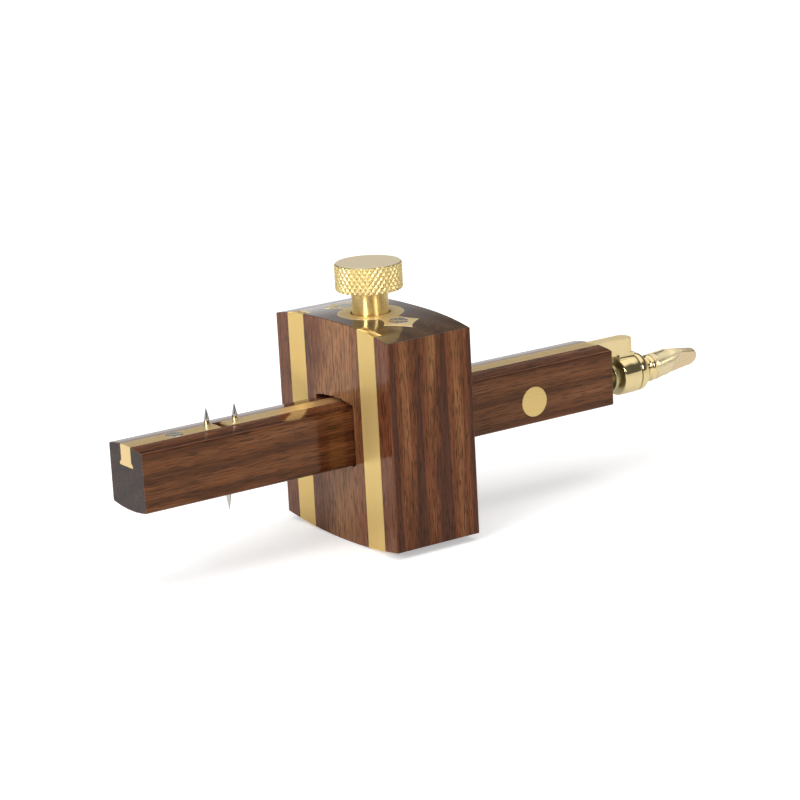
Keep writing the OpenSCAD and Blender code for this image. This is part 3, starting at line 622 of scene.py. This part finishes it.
def make_escutcheon():
    """The plate, as two halves. Each is a stack of upright loops along y between the neck's hole and
    the plate's edge, with its top on the stock's crown and its edges eased."""
    bend = np.radians(np.linspace(-90, 90, 61))
    corners = [LUG_ROOT[1], LUG_SIDE[1]]
    end = LUG_TIP[1] - 0.05
    ys = np.unique(np.concatenate([np.linspace(-end, end, 197), HOLE_R * np.sin(bend), corners,
                                   np.negative(corners)]))
    outer = plate_half_width(ys)
    inner = np.sqrt(np.maximum(HOLE_R ** 2 - ys ** 2, 0))
    top = stock_crown(ys) + PLATE_RISE
    width = np.maximum(outer - inner, 0.01)
    e = np.minimum(0.18, width * 0.3)
    hole = (inner > 0.05) * 1.0
    ring = [(inner, top - 0.2 * hole), (inner + 0.06 * hole, top - 0.06 * hole), (inner + e * hole, top)]
    ring += [(inner + e + (width - 2 * e) * t, top) for t in (0.02, 0.25, 0.5, 0.75, 0.98)]
    ring += [(inner + width - e * 0.9, top), (inner + width - e * 0.3, top - 0.05), (inner + width, top - 0.18),
             (inner + width, top - 0.5), (inner + width, 0 * ys + 36.1), (inner, 0 * ys + 36.1)]
    loops = np.stack([np.stack([x, ys, z], -1) for x, z in ring], 1)
    sheets = [loft(loops * [side, 1, 1] + [PLATE_X, 0, 0]) for side in (1, -1)]
    return piece("brass_escutcheon", sheets, [plate_brass], "stock", ["escutcheon"], weld=False)


def make_face_strip(side, name, node):
    """A wear strip in the working face: upright loops in x and z, as tall as the stock's crown
    at each y, with a corner of radius r at the working face."""
    y0, y1, r, thick = 16.8, 27.1, 0.3, 3.24
    ys = np.array([y0, y0 + 0.08, *np.linspace(y0 + 0.2, y1 - 0.2, 15), y1 - 0.08, y1])
    ease = np.array([0.08, 0.02, *([0] * 15), 0.02, 0.08])
    a = np.radians([90, 67.5, 45, 22.5, 0])
    loops = []
    for y, d in zip(ys, ease):
        tops = [stock_crown(y) + 0.04, stock_foot(y) + 0.04]
        x0 = d - 0.04
        half = [np.concatenate([[[thick, h], [x0 + r + 0.15, h]],
                                np.stack([x0 + r - r * np.cos(a), h - r + r * np.sin(a)], 1),
                                [[x0, h - r - 0.15]]]) for h in tops]
        loop = np.concatenate([half[0], (half[1] * [1, -1])[::-1]])
        loops.append(np.column_stack([loop[:, 0], np.full(len(loop), side * y), loop[:, 1]]))
    return piece(name, [loft(loops), flat_end(loops[0]), flat_end(loops[-1])], [strip_brass], "stock",
                 [node])


def make_cross_nut():
    """The cross nut's two round ends, turned about the y line through its place and eased at the rim."""
    face = [(STEM_HALF - 6, NUT_R), (STEM_HALF - 0.1, NUT_R), (STEM_HALF + 0.03, NUT_R - 0.08),
            (STEM_HALF + 0.05, NUT_R - 0.2), (STEM_HALF + 0.05, 0)]
    cheeks = []
    for side in (-1, 1):
        pts, quads, paint = turned(face, (0, 0, 0), "z", 96)
        cheeks.append((np.stack([NUT_X + pts[:, 0], side * pts[:, 2], NUT_Z + pts[:, 1]], 1), quads, paint))
    return piece("brass_cross_nut", cheeks, [nut_brass], "stem", ["barrel_nut"])


# Steel pieces

def make_pin(name, node, body, x, low, high, point, down=False):
    """A scribing pin at x, from its plain foot to a sharpened, slightly rounded tip whose radius
    falls with a power of the way along it. It stands up or, for the marking pin, hangs down."""
    t = np.linspace(0, 1, 14)
    cone = np.stack([high - point + (point - 0.05) * t, PIN_R * (1 - t) ** 0.9 + 0.03], 1)
    outline = np.concatenate([[[low, 0], [low, PIN_R], [high - point - 0.15, PIN_R]], cone, [[high, 0]]])
    return piece(name, [turned(outline * ([-1, 1] if down else [1, 1]), (x, 0, 0), "z", 48)], [steel], body,
                 [node], crease=40)


def screw_sheets(r, turn_deg, centre, tilt_deg=0.0, slot=0.45, deep=0.85):
    """A countersunk slotted screw: a disc of chords across the slot, sunk between the slot's edges
    and eased at the rim, above its cone, shank and point."""
    u = np.array([-1, -0.985, -0.95, -0.88, -0.75, -0.55, -0.3]) * r
    u = np.concatenate([u, [-slot - 0.08, -slot, -slot, slot, slot, slot + 0.08], -u[::-1]])
    sunk = np.zeros(len(u))
    sunk[9:11] = deep
    v = np.concatenate([[-1, -0.985, -0.95], np.linspace(-0.88, 0.88, 17), [0.95, 0.985, 1]])
    chord = np.sqrt(np.maximum(r ** 2 - u ** 2, 0))
    gx = np.broadcast_to(u[:, None], (len(u), len(v)))
    gy = chord[:, None] * v
    rim = 0.25
    gz = -rim * np.clip((np.hypot(gx, gy) - (r - rim)) / rim, 0, 1) ** 2 - sunk[:, None]
    top = np.stack([gx, gy, gz], -1)
    body, quads, paint = turned([(-rim, r), (-0.45, r), (-2.3, 1.5), (-9, 1.5), (-12, 0.1)], (0, 0, 0), "z", 64)
    t, b = math.radians(turn_deg), math.radians(tilt_deg)
    spin = np.array([[math.cos(t), -math.sin(t), 0], [math.sin(t), math.cos(t), 0], [0, 0, 1]])
    lean = np.array([[1, 0, 0], [0, math.cos(b), -math.sin(b)], [0, math.sin(b), math.cos(b)]])
    m = (lean @ spin).T
    head, faces = top.reshape(-1, 3) @ m + centre, weave(*top.shape[:2])
    # The slot's walls and floor take the second material, painted shade.
    in_slot = np.repeat(np.isin(np.arange(len(u) - 1), (8, 9, 10)), len(v) - 1)
    return [(head, faces[~in_slot], 0), (head, faces[in_slot], 1), (body @ m + centre, quads, paint)]


def make_plate_screw(side, turn_deg, name, node):
    """A screw of the escutcheon, square to the stock's crown at its own place."""
    y = PLATE_SCREW_Y * side
    tilt = math.degrees(math.atan(float(stock_crown(y + 0.5) - stock_crown(y - 0.5))))
    centre = np.array([PLATE_X, y, float(stock_crown(y)) + PLATE_RISE + 0.04])
    return piece(name, screw_sheets(3.7, turn_deg, centre, tilt), [screw_steel, painted_shade_slot_steel], "stock",
                 [node], crease=30, facing=(0, 0, 1))


make_stem()
make_stock()
make_tee("brass_end_strip", STEM_X0, STRIP_X1, "stem", ["fixed_strip"])
make_tee("brass_slide", SLIDE_X0, FOOT_X1, "slide", ["slide_bar"], 0.5, slide_tail())
make_eye()
make_adjusting_screw()
make_collar()
make_finger_turn()
make_thumbscrew()
make_escutcheon()
make_face_strip(-1, "near_brass_strip", "near_face_strip")
make_face_strip(1, "far_brass_strip", "far_face_strip")
make_pin("steel_fixed_pin", "fixed_pin", "stem", FIXED_PIN_X, -3.8, 18.0, 4.2)
make_pin("steel_moving_pin", "moving_pin", "slide", MOVING_PIN_X, 3.9, 17.6, 4.2)
make_pin("steel_marking_pin", "marking_pin", "stem", MARKING_PIN_X, 4.2, 19.2, 6.0, down=True)
make_plate_screw(-1, 50, "near_slotted_screw", "near_plate_screw")
make_plate_screw(1, 65, "far_slotted_screw", "far_plate_screw")
piece("strip_slotted_screw", screw_sheets(3.2, 62, np.array([STRIP_SCREW_X, 0, STEM_HALF + 0.05])),
      [screw_steel, painted_shade_slot_steel], "stem", ["fixed_strip_screw"], crease=30, facing=(0, 0, 1))
make_cross_nut()

for node, material in (("threaded_bush", neck_brass), ("pressure_shoe", plate_brass), ("collar_pin", steel)):
    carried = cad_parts[node]
    carried.data.materials.clear()
    carried.data.materials.append(material)


# Floor, light and camera

def make_floor():
    """A pale disc under the stock. A little light of its own, which grows away from the gauge,
    makes it white to the camera; what mirrors it sees it nearly as it is."""
    a = np.linspace(0, 2 * np.pi, 96, endpoint=False)
    mesh = bpy.data.meshes.new("floor")
    mesh.from_pydata(np.stack([6 * np.cos(a), 6 * np.sin(a), 0 * a], 1).tolist(), [], [list(range(96))])
    m, bsdf, add, link = new_material("pale_floor")
    coords = add("ShaderNodeTexCoord").outputs["Object"]
    link(ramp(add, link, noise(add, link, coords, (300, 300, 300)), [(0.3, 0.88), (0.7, 0.9)]),
         bsdf.inputs["Base Color"])
    bsdf.inputs["Roughness"].default_value = 0.9
    bsdf.inputs["Specular IOR Level"].default_value = 0.0
    bsdf.inputs["Emission Color"].default_value = (1, 1, 1, 1)
    ray = add("ShaderNodeLightPath")
    away = add("ShaderNodeVectorMath", operation="LENGTH")
    link(coords, away.inputs[0])
    white = add("ShaderNodeMapRange")
    for k, v in enumerate((0.2, 1.2, 0.42, 0.75), 1):
        white.inputs[k].default_value = v
    link(away.outputs["Value"], white.inputs[0])
    seen = maths(add, link, "MAXIMUM", ray.outputs["Is Camera Ray"], ray.outputs["Is Transmission Ray"])
    glow = maths(add, link, "MULTIPLY", seen, white.outputs[0])
    link(maths(add, link, "MULTIPLY_ADD", ray.outputs["Is Glossy Ray"], 0.09, glow),
         bsdf.inputs["Emission Strength"])
    mesh.materials.append(m)
    obj = bpy.data.objects.new("floor", mesh)
    bpy.context.scene.collection.objects.link(obj)


def make_world():
    """A plain studio: white to the camera and even grey light on the gauge. What mirrors it sees,
    from the floor's level upwards: on the camera's side a low bright wall, a dark band and a bright
    ceiling, and at the back a wall that darkens upwards to the ceiling's edge."""
    world = bpy.data.worlds.new("studio")
    bpy.context.scene.world = world
    world.use_nodes = True
    add, link = node_tools(world.node_tree)
    direction = add("ShaderNodeTexCoord").outputs["Generated"]
    split = add("ShaderNodeSeparateXYZ")
    link(direction, split.inputs[0])
    height = split.outputs["Z"]
    towards = add("ShaderNodeVectorMath", operation="DOT_PRODUCT")
    link(direction, towards.inputs[0])
    towards.inputs[1].default_value = (-0.553, -0.833, 0)
    behind = add("ShaderNodeMapRange")
    for k, v in enumerate((0.08, -0.12, 0.0, 1.0), 1):
        behind.inputs[k].default_value = v
    link(towards.outputs["Value"], behind.inputs[0])
    front = ramp(add, link, height, [(0.0, 0.90), (0.10, 0.90), (0.13, 0.10), (0.74, 0.10), (0.84, 1.15)])
    back = ramp(add, link, height, [(0.0, 0.95), (0.11, 0.72), (0.24, 0.29), (0.35, 0.19), (0.46, 0.10),
                                    (0.62, 0.10), (0.72, 1.10)])
    there = maths(add, link, "MULTIPLY", behind.outputs[0], maths(add, link, "SUBTRACT", back, front))
    walls = maths(add, link, "ADD", front, there)
    ray = add("ShaderNodeLightPath")
    plain = maths(add, link, "MULTIPLY_ADD", ray.outputs["Is Glossy Ray"],
                  maths(add, link, "SUBTRACT", walls, 0.5), 0.5)
    seen = maths(add, link, "MAXIMUM", ray.outputs["Is Camera Ray"], ray.outputs["Is Transmission Ray"])
    strength = maths(add, link, "MULTIPLY_ADD", seen, maths(add, link, "SUBTRACT", 1.0, plain), plain)
    sky = world.node_tree.nodes["Background"]
    sky.inputs["Color"].default_value = (1, 1, 1, 1)
    link(strength, sky.inputs["Strength"])


def make_lamp(name, place, aim, size, watts, mirrored=False):
    """A square soft lamp at `place` that faces `aim`. It either lights surfaces and isn't seen in
    reflections, or is `mirrored`, which only reflections see."""
    data = bpy.data.lights.new(name, "AREA")
    data.size, data.energy = size, watts
    obj = bpy.data.objects.new(name, data)
    bpy.context.scene.collection.objects.link(obj)
    obj.location = place
    way = np.asarray(aim, float) - place
    obj.rotation_euler = (math.atan2(math.hypot(way[0], way[1]), -way[2]), 0, math.atan2(-way[0], way[1]))
    obj.visible_glossy, obj.visible_diffuse = mirrored, not mirrored
    return obj


make_floor()
make_world()
make_lamp("overhead", (-0.15, -0.1, 1.1), (0, 0, 0.03), 0.9, 4.2)
make_lamp("left_key", (-1.1, -0.35, 0.7), (0, 0, 0.04), 0.6, 6.5)
make_lamp("left_gloss", (-0.97, -0.44, 0.60), (0, 0, 0.04), 0.34, 9.0, mirrored=True)
make_lamp("right_gloss", (0.08, -1.04, 0.64), (0, 0, 0.04), 0.28, 3.4, mirrored=True)

camera = bpy.data.objects.new("camera", bpy.data.cameras.new("camera"))
bpy.context.scene.collection.objects.link(camera)
camera.location = row((-491.94, -782.43, 249.09))
camera.rotation_euler = tuple(math.radians(v) for v in (75.455, 2.987, -34.338))
camera.data.lens = 124.90
camera.data.clip_end = 50
bpy.context.scene.camera = camera
bpy.context.scene.view_settings.view_transform = "Standard"
